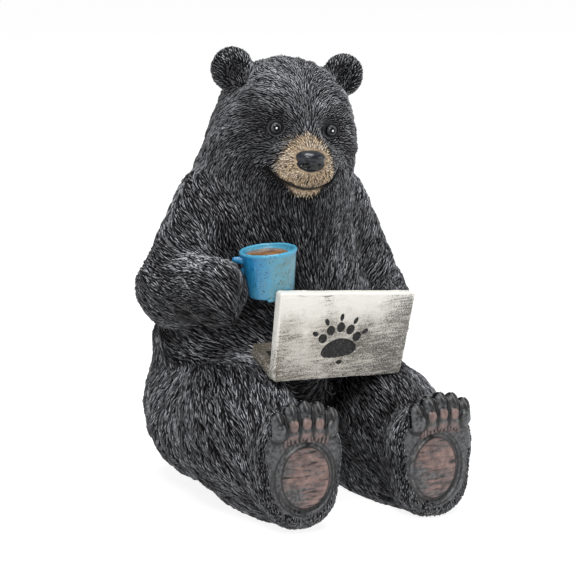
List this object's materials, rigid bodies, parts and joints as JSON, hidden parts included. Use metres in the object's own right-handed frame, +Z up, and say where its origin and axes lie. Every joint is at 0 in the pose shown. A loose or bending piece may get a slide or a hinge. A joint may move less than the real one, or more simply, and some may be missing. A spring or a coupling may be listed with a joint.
{
  "type": "bear figurine",
  "caption": "Seated black bear figurine in painted cast resin, holding a blue mug in its right paw with an open silver laptop on its lap.",
  "frame": {"origin": "on the flat underside, under the bear's head", "axes": "+Z up, -Y the way the bear faces, -X the bear's right side, which holds the mug"},
  "size_m": [0.1045, 0.1089, 0.1491],
  "materials": {
    "black_fur": "painted cast resin, black with grey dry-brushed fur, satin",
    "weathered_silver": "painted cast resin, pale silver with a brown-grey wash, satin",
    "blue_glaze": "painted cast resin, speckled blue with a soft gloss"
  },
  "bodies": {
    "root": {"bear": "black_fur", "laptop": "weathered_silver", "mug": "blue_glaze"}
  },
  "joints": []
}
